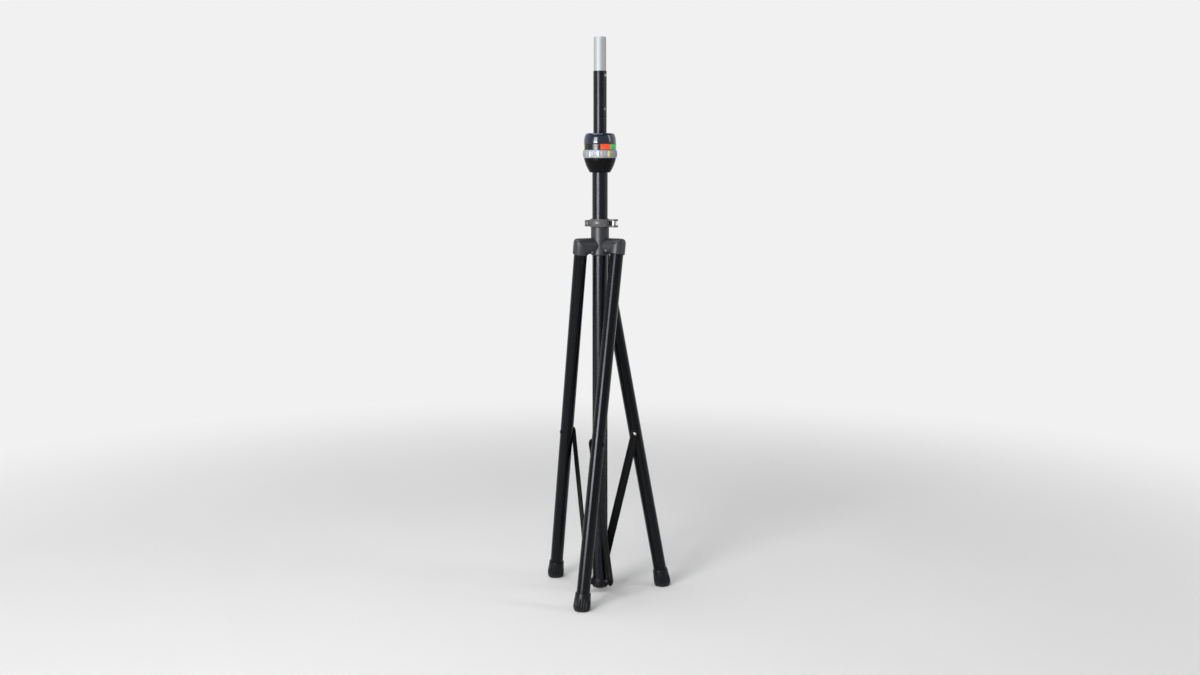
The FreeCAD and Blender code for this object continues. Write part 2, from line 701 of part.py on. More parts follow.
def clamp_lever(eye_height):
    """Cam fork on the pin, a curved grip round the front of the band, and a finger tab."""
    foot = f"({CLAMP_MIDDLE} - lever_height / 2)"
    inner = f"({BAND_OUTER} + 2 * lever_gap)"
    outer = f"({inner} + 2 * lever_thick)"
    tip_turn = number("lever_start - lever_sweep")
    edge = f"({outer} / 2 - lever_curve + sqrt(lever_curve^2 - lever_height^2 / 4))"
    ring = turned("lever_ring", [
        (f"{inner} / 2", foot),
        (edge, foot, "lever_curve", "left"),
        (edge, f"{foot} + lever_height"),
        (f"{inner} / 2", f"{foot} + lever_height"),
    ])
    sector = rod("lever_sector", f"2 * {outer}", "lever_height", z=foot)
    bind(sector, Angle="lever_sweep")
    sector.Placement.Rotation = FreeCAD.Rotation(UP, tip_turn)
    grip = doc.addObject("Part::Common", "lever_grip")
    grip.Base = ring
    grip.Tool = sector
    hollow = rod("lever_hollow", inner, "lever_height", z=foot)

    start = f"(({inner} + lever_thick) / 2)"
    tab = block("lever_tab_blank", "lever_tab + lever_thick", "lever_thick", "lever_tab_height",
                x=f"{start} + lever_tab / 2 - lever_thick / 2", y="lever_thick / 2",
                z=f"{CLAMP_MIDDLE} - lever_tab_height / 2")
    slot = block("lever_tab_slot_cut", "lever_tab_slot", "4 * lever_thick", "lever_tab_height / 2",
                 x=f"{start} + lever_tab - 2 * lever_tab_slot", z=f"{CLAMP_MIDDLE} - lever_tab_height / 4")
    at_tip = FreeCAD.Placement(FreeCAD.Vector(), FreeCAD.Rotation(UP, tip_turn))

    cam = rod("lever_cam", "cam_diameter", "lever_height", x="bolt_reach", y=f"-{PIN_BACK}", z=foot)
    join_x = f"({start} * cos(lever_start))"
    join_y = f"({start} * sin(lever_start))"
    neck_length = f"sqrt((bolt_reach - {join_x})^2 + ({join_y} + {PIN_BACK})^2)"
    neck = block("lever_neck", neck_length, "lever_thick", "lever_height", x=f"{neck_length} / 2")
    root = FreeCAD.Vector(number(join_x), number(join_y), number(foot))
    heading = math.degrees(math.atan2(-number(PIN_BACK) - root.y, number("bolt_reach") - root.x))
    at_neck = FreeCAD.Placement(root, FreeCAD.Rotation(UP, heading))
    pieces = (
        grip,
        stand("lever_tab_turned", cut("lever_tab_slotted", tab, slot), at_tip),
        cam,
        stand("lever_neck_turned", neck, at_neck),
    )
    fork = f"({eye_height} + 2 * moving_gap)"
    room = rod("lever_fork_room", "cam_diameter + 2 * fork_clearance", fork,
               x="bolt_reach", y=f"-{PIN_BACK}", z=f"{CLAMP_MIDDLE} - {fork} / 2")
    hole = rod("lever_pin_hole", "bolt_diameter + 2 * running_fit", "lever_height",
               x="bolt_reach", y=f"-{PIN_BACK}", z=foot)
    keep("clamp_lever", cut("clamp_lever", fuse("lever_solid", *pieces), hollow, room, hole))


def leg(letter):
    """One leg: elbow, retaining pin, tube, rubber foot, brace rivet and washer."""
    frame = leg_frame(letter)
    floor = "(hub_pivot_height / cos(leg_angle))"
    tube_foot = f"(leg_floor_gap - {floor})"

    skin = rod(f"leg_skin_{letter}", "leg_outer", f"leg_rise - {tube_foot}", z=tube_foot)
    hollow = rod(f"leg_hollow_{letter}", "leg_outer - 2 * leg_wall", f"leg_rise - {tube_foot}", z=tube_foot)
    hole = rod(f"leg_rivet_hole_{letter}", "rivet_diameter + 2 * glue_gap", "2 * leg_outer",
               x="-leg_outer", z="-rivet_distance", along=SIDE)
    keep(f"leg_tube_{letter}", cut(f"leg_tube_{letter}", skin, hollow, hole), frame)

    barrel = rod(f"barrel_{letter}", "elbow_outer", "leg_offset", x="-leg_offset", along=SIDE)
    socket = turned(f"socket_{letter}", [
        ("0", "0"),
        ("elbow_outer / 2 - socket_rim", "0", "socket_rim", "left"),
        ("elbow_outer / 2", "socket_rim"),
        ("elbow_outer / 2", "socket_drop", "elbow_outer / 2", "left"),
        ("0", "socket_drop + elbow_outer / 2"),
    ])
    set_base(socket, z="-socket_drop")
    blank = fuse(f"elbow_blank_{letter}", socket, barrel)
    tube_bore = rod(f"socket_bore_{letter}", "leg_outer + 2 * glue_gap", "elbow_outer + leg_rise",
                    z="-elbow_outer")
    stub_bore = rod(f"barrel_bore_{letter}", "stub_diameter + running_fit", "stub_reach + moving_gap",
                    x="-leg_offset", along=SIDE)
    mouth = rod(f"barrel_mouth_{letter}", "hub_outer + 2 * elbow_mouth", "4 * elbow_outer")
    # upright in the middle of the leg's travel, so that the elbow clears the hub at both ends
    lean = FreeCAD.Rotation(SIDE, number("leg_angle + mouth_lean"))
    middle = FreeCAD.Vector(-number("leg_offset"), 0, 0) - lean.multVec(UP) * number("2 * elbow_outer")
    mouth.Placement = FreeCAD.Placement(middle, lean)
    pin_hole = rod(f"pin_hole_{letter}", "pin_diameter + 2 * glue_gap", "2 * elbow_outer",
                   x="groove_reach - leg_offset", y="-elbow_outer", z=f"-{PIN_DROP}", along=DEEP)
    keep(f"elbow_{letter}", cut(f"elbow_{letter}", blank, tube_bore, stub_bore, mouth, pin_hole), frame)
    pin = rod(f"elbow_pin_bar_{letter}", "pin_diameter", PIN_LENGTH, x="groove_reach - leg_offset",
              y=f"-{PIN_LENGTH} / 2", z=f"-{PIN_DROP}", along=DEEP)
    keep(f"elbow_pin_{letter}", stand(f"elbow_pin_{letter}", pin, frame))
    rubber_foot(letter, frame, floor)
    brace_rivet(letter, frame)


def rubber_foot(letter, frame, floor):
    """A fluted boot on the end of the leg, cut flat where it stands on the floor."""
    bore = "(leg_outer / 2 + glue_gap)"
    bottom = "(leg_floor_gap + foot_sink - glue_gap)"
    boot = turned(f"boot_{letter}", [
        ("0", "0"),
        ("foot_sole_outer / 2", "0"),
        ("foot_edge_outer / 2", "foot_edge_height"),
        ("foot_belly_outer / 2", "foot_belly_height"),
        ("foot_rim_outer / 2", "foot_height"),
        (bore, "foot_height"),
        (bore, bottom),
        ("0", bottom),
    ])
    middle = "foot_belly_outer / 2 + foot_flute_radius - foot_flute_depth"
    flute(boot, "foot_flutes", middle, "foot_flute_radius", "foot_flute_rise")
    down = FreeCAD.Placement(FreeCAD.Vector(0, 0, -number(floor) - number("foot_sink")), FreeCAD.Rotation())
    boot.Placement = frame * down
    ground = block(f"ground_{letter}", "2 * hub_pivot_height", "2 * hub_pivot_height", "foot_height",
                   z="-foot_height")
    keep(f"foot_{letter}", cut(f"foot_{letter}", boot, ground))


def brace_rivet(letter, frame):
    """The rivet that carries the brace on the leg, and the washer between the two."""
    inside = f"(leg_offset - {BRACE_BACK} + running_fit)"
    grip = f"({inside} + leg_outer / 2 + glue_gap)"
    dome = round_head("rivet_head", "rivet_head_height")
    rivet = turned(f"brace_rivet_{letter}", [
        ("0", "0", dome, "left"),
        ("rivet_head / 2", "rivet_head_height"),
        ("rivet_diameter / 2", "rivet_head_height"),
        ("rivet_diameter / 2", f"rivet_head_height + {grip}"),
        ("rivet_head / 2", f"rivet_head_height + {grip}", dome, "left"),
        ("0", f"2 * rivet_head_height + {grip}"),
    ])
    start = FreeCAD.Vector(-number(inside) - number("rivet_head_height"), 0, -number("rivet_distance"))
    keep(f"brace_rivet_{letter}", rivet, frame * FreeCAD.Placement(start, FreeCAD.Rotation(DEEP, 90)))
    disc_start = "-leg_outer / 2 - moving_gap / 2 - washer_thick"
    disc = rod(f"washer_disc_{letter}", "washer_outer", "washer_thick",
               x=disc_start, z="-rivet_distance", along=SIDE)
    hole = rod(f"washer_hole_{letter}", "rivet_diameter + 2 * running_fit", "3 * washer_thick",
               x=f"{disc_start} - washer_thick", z="-rivet_distance", along=SIDE)
    keep(f"brace_washer_{letter}", cut(f"brace_washer_{letter}", disc, hole), frame)


def brace(letter):
    """A flat bar with round ends. The two open pivots of the linkage have roomy lower holes."""
    room = "running_fit" if letter == "a" else "open_pivot_room"
    bar = block(f"brace_bar_{letter}", "brace_thick", "brace_width", BRACE_LENGTH,
                x=f"{BRACE_BACK} + brace_thick / 2")
    low = rod(f"brace_low_end_{letter}", "brace_width", "brace_thick", x=BRACE_BACK, along=SIDE)
    high = rod(f"brace_high_end_{letter}", "brace_width", "brace_thick",
               x=BRACE_BACK, z=BRACE_LENGTH, along=SIDE)
    low_hole = rod(f"brace_low_hole_{letter}", f"pivot_diameter + 2 * {room}", BRACE_FACE,
                   x="brace_thick", along=SIDE)
    high_hole = rod(f"brace_high_hole_{letter}", "rivet_diameter + 2 * running_fit", BRACE_FACE,
                    x="brace_thick", z=BRACE_LENGTH, along=SIDE)
    plate = fuse(f"brace_plate_{letter}", bar, low, high)
    keep(f"brace_{letter}", cut(f"brace_{letter}", plate, low_hole, high_hole), brace_frame(letter))


def bottom_plug():
    """Plug in the pole's lower end, with three bosses that carry the braces' lower pivots."""
    top = "(pole_foot_height + plug_insert)"
    insert = f"({POLE_BORE} / 2 - glue_gap)"
    core = f"({insert} - plug_wall)"
    shell = turned("plug_shell", [
        (core, "plug_foot_height"),
        ("plug_outer / 2 - plug_foot_chamfer", "plug_foot_height"),
        ("plug_outer / 2", "plug_foot_height + plug_foot_chamfer"),
        ("plug_outer / 2", "pole_foot_height"),
        (insert, "pole_foot_height"),
        (insert, top),
        (core, top),
    ])
    bosses = []
    holes = []
    pivots = []
    dome = round_head("pivot_head", "pivot_head_height")
    for letter in ARMS:
        play = "running_fit" if letter == "a" else "open_pivot_play"
        boss_end = f"({BRACE_BACK} - {play})"
        boss = rod(f"boss_bar_{letter}", "boss_diameter", f"{boss_end} - {core}", x=core,
                   z="plug_pivot_height", along=SIDE)
        hole = rod(f"boss_bore_{letter}", "pivot_diameter + 2 * glue_gap", boss_end, x="pivot_depth",
                   z="plug_pivot_height", along=SIDE)
        bosses.append(stand(f"boss_{letter}", boss, arm_frame(letter)))
        holes.append(stand(f"boss_hole_{letter}", hole, arm_frame(letter)))
        shank = f"({BRACE_FACE} + {play} - pivot_depth)"
        pivot = turned(f"pivot_{letter}", [
            ("0", "0"),
            ("pivot_diameter / 2", "0"),
            ("pivot_diameter / 2", shank),
            ("pivot_head / 2", shank, dome, "left"),
            ("0", f"{shank} + pivot_head_height"),
        ])
        start = FreeCAD.Vector(number("pivot_depth"), 0, number("plug_pivot_height"))
        pivot.Placement = arm_frame(letter) * FreeCAD.Placement(start, FreeCAD.Rotation(DEEP, 90))
        pivots.append(pivot)
    keep("bottom_plug", cut("bottom_plug", fuse("plug_solid", shell, *bosses), *holes))
    group = doc.addObject("Part::Compound", "lower_pivots")
    group.Links = pivots
    keep("lower_pivots", group)


tubes()
snap_buttons()
height_lock()
hub()
quick_clamp()
bottom_plug()
for arm in ARMS:
    leg(arm)
    brace(arm)
doc.recompute()

for item in doc.Objects:
    assert not {"Invalid", "Error"} & set(item.State), f"{item.Label} failed: {item.State}"
for item in subparts:
    assert not item.Shape.isNull() and item.Shape.isValid(), f"{item.Label} has no valid shape"
    assert item.Shape.Solids, f"{item.Label} has no solid"

os.makedirs("parts", exist_ok=True)
for item in subparts:
    item.Shape.exportStep(f"parts/{item.Label}.step")
    print(item.Label, len(item.Shape.Solids), round(item.Shape.Volume / 1000, 2), "cm3")
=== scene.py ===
import math

import bmesh
import bpy
from mathutils import Matrix, Vector


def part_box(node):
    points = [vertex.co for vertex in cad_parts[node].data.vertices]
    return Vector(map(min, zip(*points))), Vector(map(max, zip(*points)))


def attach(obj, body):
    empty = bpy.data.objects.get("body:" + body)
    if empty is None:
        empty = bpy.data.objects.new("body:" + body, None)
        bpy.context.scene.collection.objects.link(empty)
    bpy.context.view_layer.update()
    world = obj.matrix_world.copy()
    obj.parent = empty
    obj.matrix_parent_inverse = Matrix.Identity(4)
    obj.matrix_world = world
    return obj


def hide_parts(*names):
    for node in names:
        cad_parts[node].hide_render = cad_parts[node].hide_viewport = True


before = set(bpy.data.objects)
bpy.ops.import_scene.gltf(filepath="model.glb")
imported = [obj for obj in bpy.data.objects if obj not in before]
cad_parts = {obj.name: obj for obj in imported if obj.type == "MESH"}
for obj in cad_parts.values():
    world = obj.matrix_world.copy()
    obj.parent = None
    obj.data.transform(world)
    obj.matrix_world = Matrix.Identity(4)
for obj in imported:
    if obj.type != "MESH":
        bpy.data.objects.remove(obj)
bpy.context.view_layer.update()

# Folding speaker stand: black tubes on a braced tripod, a twist height lock and a bare speaker spigot.
# Sizes are millimetres and degrees, as in the solids. The studio is in metres.
MM = 0.001
UP = Vector((0, 0, 1))
ORIGIN = (0, 0, 0)
# points closer than this are one point: in turned pieces, and in copies of the solids
TURNED_WELD = 0.001
SOLID_WELD = 0.003
# the directions of the hub's three arms, and the place and lean of the leg on each
ARM_TURNS = {"a": 210, "b": 330, "c": 90}
LEG_OFFSET = 60
LEG_ANGLE = 10.3
HINGE_HEIGHT = 1022
# heights and reaches that the pieces of the height lock share
LOCK_REACH = 46
RING_FOOT = 1272
CAP_FOOT = 1295
LABEL_FOOT = 1296
LABEL_TOP = 1311
MAST_HOLE = 19.6
LOCK_STEPS = 128
# the direction that the camera stands in
CAMERA_SIDE = -86.5

# the colour sockets of a Mix node, by number, because its sockets for other data have the same names
MIX_SHARE = 0
MIX_FROM = 6
MIX_TO = 7
MIX_RESULT = 2
# most values of a noise texture lie between these two
NOISE_LOW = 0.3
NOISE_HIGH = 0.7


def linear(code):
    """An sRGB hex colour as linear RGBA."""
    shares = [int(code[i:i + 2], 16) / 255 for i in (1, 3, 5)]
    return (*(s / 12.92 if s <= 0.04045 else ((s + 0.055) / 1.055) ** 2.4 for s in shares), 1.0)


def per_mm(size):
    """The texture scale that makes a pattern's features this many millimetres wide."""
    return 1 / (size * MM)


def add(material, kind, inputs=None, **settings):
    """Add a shader node with its settings, and set or link its inputs."""
    item = material.node_tree.nodes.new(kind)
    for name, value in settings.items():
        setattr(item, name, value)
    for name, value in (inputs or {}).items():
        if isinstance(value, bpy.types.NodeSocket):
            material.node_tree.links.new(value, item.inputs[name])
        else:
            item.inputs[name].default_value = value
    return item


def start(name):
    """An empty material and the place of each point on its piece."""
    material = bpy.data.materials.new(name)
    material.use_nodes = True
    material.node_tree.nodes.clear()
    return material, add(material, "ShaderNodeTexCoord").outputs["Object"]


def coated(name, dark, light, rough, shine, patch=18, grain=3.5, depth=0.04, strength=0.25):
    """A coat or moulded skin: slow changes of tone and gloss over patches, and a fine grain in relief."""
    material, place = start(name)
    cloud = add(material, "ShaderNodeTexNoise", {"Vector": place, "Scale": per_mm(patch), "Detail": 4.0})
    gloss = add(material, "ShaderNodeMapRange", {
        "Value": cloud.outputs["Fac"], "From Min": NOISE_LOW, "From Max": NOISE_HIGH,
        "To Min": rough[0], "To Max": rough[1],
    })
    # the grain is drawn a few times coarser than life, so that it shows from a step away
    peel = add(material, "ShaderNodeTexNoise", {"Vector": place, "Scale": per_mm(grain), "Detail": 2.0})
    relief = add(material, "ShaderNodeBump", {
        "Height": peel.outputs["Fac"], "Strength": strength, "Distance": depth * MM,
    })
    tone = add(material, "ShaderNodeMix", {
        MIX_SHARE: cloud.outputs["Fac"], MIX_FROM: linear(dark), MIX_TO: linear(light),
    }, data_type="RGBA")
    skin = add(material, "ShaderNodeBsdfPrincipled", {
        "Base Color": tone.outputs[MIX_RESULT],
        "Roughness": gloss.outputs["Result"],
        "Normal": relief.outputs["Normal"],
        **shine,
    })
    add(material, "ShaderNodeOutputMaterial", {"Surface": skin.outputs["BSDF"]})
    return material


def worn_coat(name, dark, light, bare, rough, shine, grain, depth):
    """A coat over metal that is rubbed through to a paler tone along its edges, with a cast grain."""
    material, place = start(name)
    cloud = add(material, "ShaderNodeTexNoise", {"Vector": place, "Scale": per_mm(14), "Detail": 5.0})
    scuff = add(material, "ShaderNodeTexNoise", {"Vector": place, "Scale": per_mm(5), "Detail": 3.0})
    # a flat face has a pointiness of one half, and an outside edge has more
    edge = add(material, "ShaderNodeNewGeometry").outputs["Pointiness"]
    share = add(material, "ShaderNodeMapRange", {
        "Value": edge, "From Min": 0.53, "From Max": 0.62, "To Min": 0.0, "To Max": 1.0,
    })
    rub = add(material, "ShaderNodeMath", {0: share.outputs["Result"], 1: scuff.outputs["Fac"]},
              operation="MULTIPLY")
    coat = add(material, "ShaderNodeMix", {
        MIX_SHARE: cloud.outputs["Fac"], MIX_FROM: linear(dark), MIX_TO: linear(light),
    }, data_type="RGBA")
    tone = add(material, "ShaderNodeMix", {
        MIX_SHARE: rub.outputs["Value"], MIX_FROM: coat.outputs[MIX_RESULT], MIX_TO: linear(bare),
    }, data_type="RGBA")
    gloss = add(material, "ShaderNodeMapRange", {
        "Value": cloud.outputs["Fac"], "From Min": NOISE_LOW, "From Max": NOISE_HIGH,
        "To Min": rough[0], "To Max": rough[1],
    })
    # the grain is drawn a few times coarser than life, so that it shows from a step away
    peel = add(material, "ShaderNodeTexNoise", {"Vector": place, "Scale": per_mm(grain), "Detail": 3.0})
    relief = add(material, "ShaderNodeBump", {
        "Height": peel.outputs["Fac"], "Strength": 0.35, "Distance": depth * MM,
    })
    skin = add(material, "ShaderNodeBsdfPrincipled", {
        "Base Color": tone.outputs[MIX_RESULT],
        "Roughness": gloss.outputs["Result"],
        "Normal": relief.outputs["Normal"],
        **shine,
    })
    add(material, "ShaderNodeOutputMaterial", {"Surface": skin.outputs["BSDF"]})
    return material


def drawn_metal(name, dark, light, rough, line, run):
    """Bare metal with fine lines that run along Z, left by drawing the tube or turning the pin."""
    material, place = start(name)
    # the lines are drawn many times wider than life, so that they show from a step away
    stretch = add(material, "ShaderNodeMapping", {
        "Vector": place, "Scale": (per_mm(line), per_mm(line), per_mm(run)),
    })
    streak = add(material, "ShaderNodeTexNoise", {
        "Vector": stretch.outputs["Vector"], "Scale": 1.0, "Detail": 4.0,
    })
    gloss = add(material, "ShaderNodeMapRange", {
        "Value": streak.outputs["Fac"], "From Min": NOISE_LOW, "From Max": NOISE_HIGH,
        "To Min": rough[0], "To Max": rough[1],
    })
    relief = add(material, "ShaderNodeBump", {
        "Height": streak.outputs["Fac"], "Strength": 0.2, "Distance": 0.03 * MM,
    })
    tone = add(material, "ShaderNodeMix", {
        MIX_SHARE: streak.outputs["Fac"], MIX_FROM: linear(dark), MIX_TO: linear(light),
    }, data_type="RGBA")
    skin = add(material, "ShaderNodeBsdfPrincipled", {
        "Base Color": tone.outputs[MIX_RESULT],
        "Roughness": gloss.outputs["Result"],
        "Normal": relief.outputs["Normal"],
        "Metallic": 1.0,
    })
    add(material, "ShaderNodeOutputMaterial", {"Surface": skin.outputs["BSDF"]})
    return material


def dusty_rubber():
    """Moulded black rubber with fine pores, and with floor dust on the lowest part of the boot."""
    material, place = start("boot_rubber")
    mottle = add(material, "ShaderNodeTexNoise", {"Vector": place, "Scale": per_mm(9), "Detail": 5.0})
    height = add(material, "ShaderNodeSeparateXYZ", {"Vector": place}).outputs["Z"]
    low = add(material, "ShaderNodeMapRange", {
        "Value": height, "From Min": 0.0, "From Max": 14 * MM, "To Min": 0.35, "To Max": 0.0,
    })
    dust = add(material, "ShaderNodeMath", {0: low.outputs["Result"], 1: mottle.outputs["Fac"]},
               operation="MULTIPLY")
    clean = add(material, "ShaderNodeMix", {
        MIX_SHARE: mottle.outputs["Fac"], MIX_FROM: linear("#0c0d0f"), MIX_TO: linear("#15161a"),
    }, data_type="RGBA")
    tone = add(material, "ShaderNodeMix", {
        MIX_SHARE: dust.outputs["Value"], MIX_FROM: clean.outputs[MIX_RESULT], MIX_TO: linear("#5c584f"),
    }, data_type="RGBA")
    # the pores are drawn several times wider than life, so that they show from a step away
    pores = add(material, "ShaderNodeTexNoise", {"Vector": place, "Scale": per_mm(1.6), "Detail": 2.0})
    relief = add(material, "ShaderNodeBump", {
        "Height": pores.outputs["Fac"], "Strength": 0.3, "Distance": 0.08 * MM,
    })
    skin = add(material, "ShaderNodeBsdfPrincipled", {
        "Base Color": tone.outputs[MIX_RESULT],
        "Roughness": 0.32,
        "Normal": relief.outputs["Normal"],
        "Specular IOR Level": 0.18,
    })
    add(material, "ShaderNodeOutputMaterial", {"Surface": skin.outputs["BSDF"]})
    return material


# powder coat baked on aluminium tube: deep black with a soft orange peel and one long clean streak of light
POWDER_COAT = coated("black_powder_coat", "#060709", "#0d0e12", (0.24, 0.3),
                     {"Specular IOR Level": 0.34, "Specular Tint": linear("#eaeef8")},
                     patch=30, grain=4, strength=0.03)
# the pole's powder coat again on the legs, with painted shade: a darker copy with less shine, that gives a
# deeper black with a finer streak
LEG_COAT_PAINTED_SHADE = coated("black_powder_coat_painted_shade", "#040506", "#090a0c", (0.18, 0.24),
                  {"Specular IOR Level": 0.22, "Specular Tint": linear("#eaeef8")},
                  patch=30, grain=4, strength=0.03)
# drawn aluminium, not coated: a pale satin grey with hairlines along the tube
BARE_TUBE = drawn_metal("bare_aluminium_tube", "#a4a6a8", "#c6c8c9", (0.67, 0.75), line=1.5, run=60)
# sand-grained die casting under thin paint: charcoal, dull, paler where the edges are rubbed
CAST_COAT = worn_coat("cast_arm_coat", "#1e1f23", "#2c2d32", "#6c6f75", (0.34, 0.46),
                      {"Specular IOR Level": 0.5}, grain=2.4, depth=0.12)
# dipped enamel on a small casting: smooth, dark grey with bright worn edges
LEVER_COAT = worn_coat("lever_enamel", "#403f40", "#525153", "#9a9896", (0.26, 0.36),
                       {"Specular IOR Level": 0.5}, grain=4, depth=0.04)
# zinc plate on turned steel: bright, a little warm, with short turning lines
ZINC = drawn_metal("zinc_plated_steel", "#a3a39e", "#d2d1cb", (0.22, 0.36), line=2, run=4)
# enamel on pressed strip: black and almost without shine, as the bars stand in the shade of the legs
BRACE_ENAMEL = worn_coat("brace_enamel", "#060607", "#0c0c0e", "#2a2a2b", (0.3, 0.42),
                         {"Specular IOR Level": 0.12}, grain=5, depth=0.05)
# moulded rubber: a soft dull black, greyer towards the floor
RUBBER = dusty_rubber()
# polished ABS: navy that reads as black until light falls on it, with a clear mirror of the lamps
CAP_PLASTIC = coated("gloss_navy_abs", "#0b1222", "#111a32", (0.12, 0.2),
                     {"IOR": 1.52, "Coat Weight": 0.4, "Coat Roughness": 0.08},
                     patch=25, grain=6, depth=0.02, strength=0.1)
# spark-eroded ABS: a flat black with hardly a highlight
CUP_PLASTIC = coated("satin_black_abs", "#060607", "#0c0c0e", (0.3, 0.4), {"Specular IOR Level": 0.1},
                     patch=20, grain=2.5, depth=0.05)
# ABS with metal flake: silver grey, brighter on the side of the light
RING_PLASTIC = coated("silver_flake_abs", "#7d8187", "#9a9ea4", (0.34, 0.48),
                      {"IOR": 1.5, "Metallic": 0.35}, patch=8, grain=1.5, depth=0.05)
# printed polyester film: flat strong colours under an even gloss
LABEL_BLACK = coated("label_film_black", "#070708", "#0d0d0f", (0.22, 0.3), {"IOR": 1.5})
LABEL_ORANGE = coated("label_film_orange", "#e2400f", "#ef4d1a", (0.25, 0.34), {"IOR": 1.5})
LABEL_GREEN = coated("label_film_green", "#0fb850", "#19cf62", (0.25, 0.34), {"IOR": 1.5})
LABEL_YELLOW = coated("label_film_yellow", "#cfc623", "#e0d732", (0.25, 0.34), {"IOR": 1.5})
# pad-printed paint: a clean white, slightly raised
TICK_WHITE = coated("tick_paint_white", "#e4e5e6", "#f3f3f2", (0.3, 0.4), {"IOR": 1.5})
# nylon as it comes from the mould: cream, waxy and soft in its shine
NYLON = coated("natural_nylon", "#c6c0b2", "#d6d1c4", (0.4, 0.5), {"IOR": 1.53}, patch=12, grain=2)
# nylon dyed black: the same waxy skin, close to matt
BLACK_NYLON = coated("black_nylon", "#0a0a0b", "#121214", (0.38, 0.5), {"Specular IOR Level": 0.2},
                     patch=12, grain=2, depth=0.06)


def to_piece(name, shape, materials, body, slot, *nodes, crease=38):
    """Make a finished piece of a bmesh, on a body, in place of CAD nodes."""
    mesh = bpy.data.meshes.new(name)
    for face in shape.faces:
        face.smooth = True
    shape.to_mesh(mesh)
    shape.free()
    mesh.set_sharp_from_angle(angle=math.radians(crease))
    for material in materials:
        mesh.materials.append(material)
    item = bpy.data.objects.new(name, mesh)
    bpy.context.scene.collection.objects.link(item)
    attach(item, body)
    if nodes:
        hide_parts(*nodes)


def clamped(share):
    """A share kept between 0 and 1."""
    return min(max(share, 0), 1)


def groove(vert, ribs):
    """0 on each of the ribs round Z, and 1 in the middle of the grooves between them."""
    return 0.5 - 0.5 * math.cos(ribs * math.atan2(vert.co.y, vert.co.x))


def arc(first, last, radius, steps):
    """Corners (reach, height) of an arc that bulges away from the axis on its way up, ends included."""
    chord = Vector(last) - Vector(first)
    along = chord.normalized()
    outward = Vector((along.y, -along.x))
    half = math.asin(chord.length / 2 / radius)
    centre = (Vector(first) + Vector(last)) / 2 - outward * radius * math.cos(half)
    turns = [half * (2 * step / steps - 1) for step in range(1, steps)]
    between = [centre + (outward * math.cos(turn) + along * math.sin(turn)) * radius for turn in turns]
    return [first, *between, last]


def turned(section, steps):
    """A ring turned about Z from the corners (reach, height) of its closed section."""
    shape = bmesh.new()
    corners = [shape.verts.new((reach * MM, 0, height * MM)) for reach, height in section]
    sides = [shape.edges.new(pair) for pair in zip(corners, corners[1:] + corners[:1])]
    bmesh.ops.spin(shape, geom=corners + sides, cent=ORIGIN, axis=UP, angle=math.tau, steps=steps,
                   use_merge=True)
    bmesh.ops.remove_doubles(shape, verts=shape.verts, dist=TURNED_WELD * MM)
    bmesh.ops.recalc_face_normals(shape, faces=shape.faces)
    return shape


def round_edge(shape, reach, height, size, segments=4):
    """Round the ring of edges at a reach and height."""
    near = 0.01 * MM

    def on_ring(vert):
        return abs(vert.co.z - height * MM) < near and abs(vert.co.xy.length - reach * MM) < near

    ring = [edge for edge in shape.edges if all(on_ring(vert) for vert in edge.verts)]
    bmesh.ops.bevel(shape, geom=ring, offset=size * MM, affect="EDGES", segments=segments, profile=0.5,
                    material=-1)


def arc_bar(section, middle, width):
    """A short bar that follows a ring: a closed section swept round Z about a middle direction."""
    shape = bmesh.new()
    face = shape.faces.new([shape.verts.new((reach * MM, 0, height * MM)) for reach, height in section])
    first = Matrix.Rotation(math.radians(middle - width / 2), 3, "Z")
    bmesh.ops.rotate(shape, verts=shape.verts, cent=ORIGIN, matrix=first)
    bmesh.ops.spin(shape, geom=[face, *face.edges, *face.verts], cent=ORIGIN, axis=UP,
                   angle=math.radians(width), steps=6)
    bmesh.ops.holes_fill(shape, edges=[edge for edge in shape.edges if edge.is_boundary], sides=0)
    bmesh.ops.recalc_face_normals(shape, faces=shape.faces)
    return shape


def copy_of(node):
    """The merged mesh of a CAD node."""
    shape = bmesh.new()
    shape.from_mesh(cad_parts[node].data)
    bmesh.ops.remove_doubles(shape, verts=shape.verts, dist=SOLID_WELD * MM)
    return shape


def softened(node, size, segments=2):
    """A copy of a CAD node with its corners rounded."""
    flat = math.radians(1)
    corner = math.radians(35)
    shape = copy_of(node)
    bmesh.ops.dissolve_limit(shape, angle_limit=flat, verts=shape.verts, edges=shape.edges)
    sharp = [edge for edge in shape.edges if edge.is_manifold and edge.calc_face_angle() > corner]
    bmesh.ops.bevel(shape, geom=sharp, offset=size * MM, affect="EDGES", segments=segments, profile=0.5,
                    material=-1, clamp_overlap=True)
    return shape


def cast(shape, voxel, passes):
    """The shape as it comes from a mould: every inside and outside corner melted round."""
    mesh = bpy.data.meshes.new("casting_blank")
    shape.to_mesh(mesh)
    shape.free()
    blank = bpy.data.objects.new("casting_blank", mesh)
    bpy.context.scene.collection.objects.link(blank)
    melt = blank.modifiers.new("melt", "REMESH")
    melt.mode = "VOXEL"
    melt.voxel_size = voxel * MM
    ease = blank.modifiers.new("ease", "SMOOTH")
    ease.factor = 0.5
    ease.iterations = passes
    thin = blank.modifiers.new("thin", "DECIMATE")
    thin.ratio = 0.5
    result = bmesh.new()
    result.from_object(blank, bpy.context.evaluated_depsgraph_get())
    bpy.data.objects.remove(blank)
    bpy.data.meshes.remove(mesh)
    return result


def leg_frame(letter):
    """Z runs up a leg from the height of its hinge, and X is the hinge's axis."""
    return (
        Matrix.Rotation(math.radians(ARM_TURNS[letter]), 4, "Z")
        @ Matrix.Translation((LEG_OFFSET * MM, 0, HINGE_HEIGHT * MM))
        @ Matrix.Rotation(-math.radians(LEG_ANGLE), 4, "X")
    )


